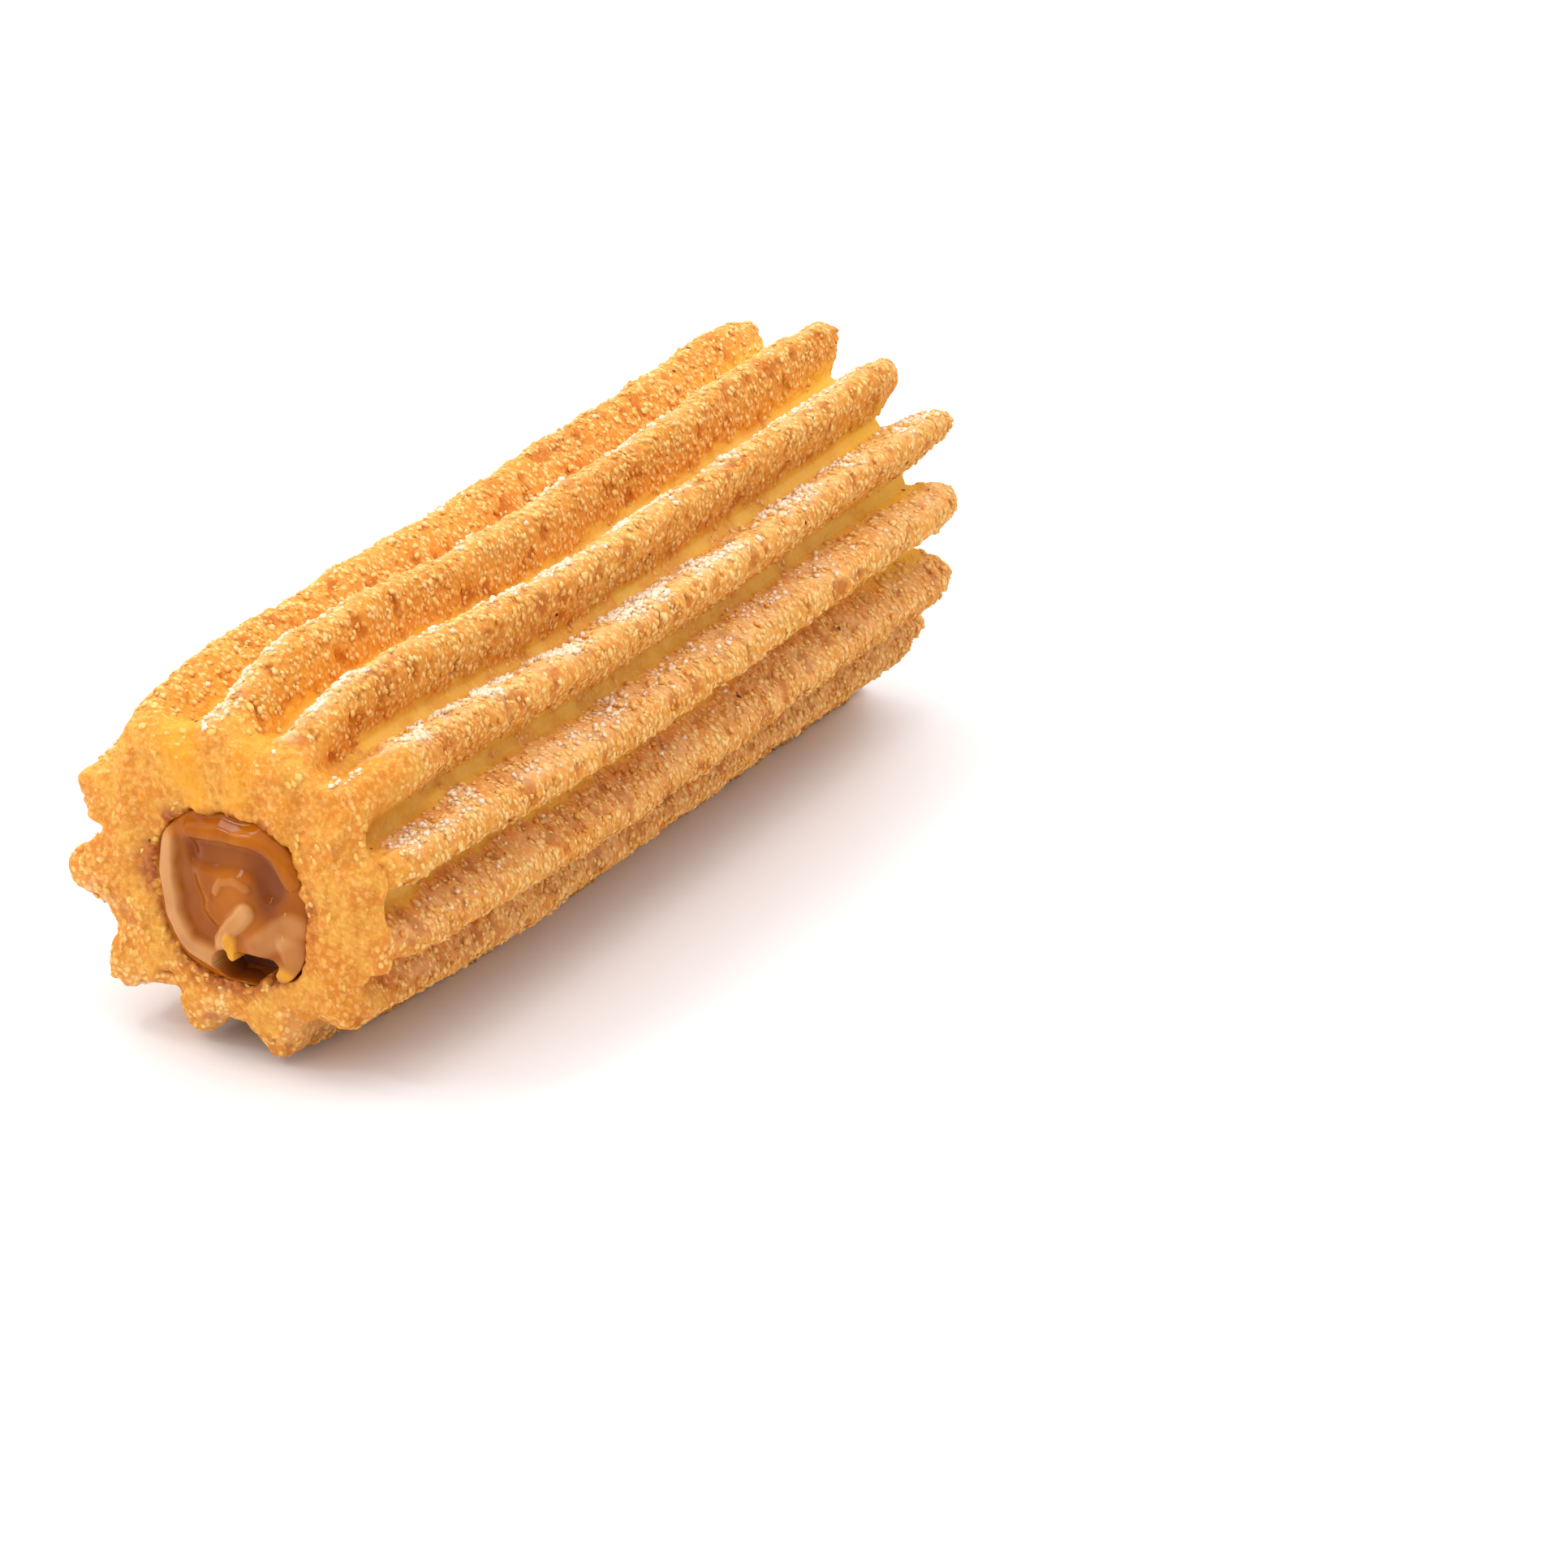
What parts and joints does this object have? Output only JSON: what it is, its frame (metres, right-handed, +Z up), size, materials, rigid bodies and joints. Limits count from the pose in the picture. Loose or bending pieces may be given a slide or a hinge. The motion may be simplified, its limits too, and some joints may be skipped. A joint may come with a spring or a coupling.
{
  "type": "filled churro",
  "caption": "Short filled churro: a ridged length of gritty golden fried dough with glossy caramel showing in its cut end.",
  "frame": {"origin": "bottom centre of the bounding box, on the surface that the churro lies on", "axes": "+X along the churro from its cut face to its far end, +Z up"},
  "size_m": [0.113, 0.0418, 0.0418],
  "materials": {
    "crust": "matt, gritty",
    "caramel": "glossy, wet"
  },
  "bodies": {
    "root": {"dough": "crust", "filling": "caramel"}
  },
  "joints": []
}
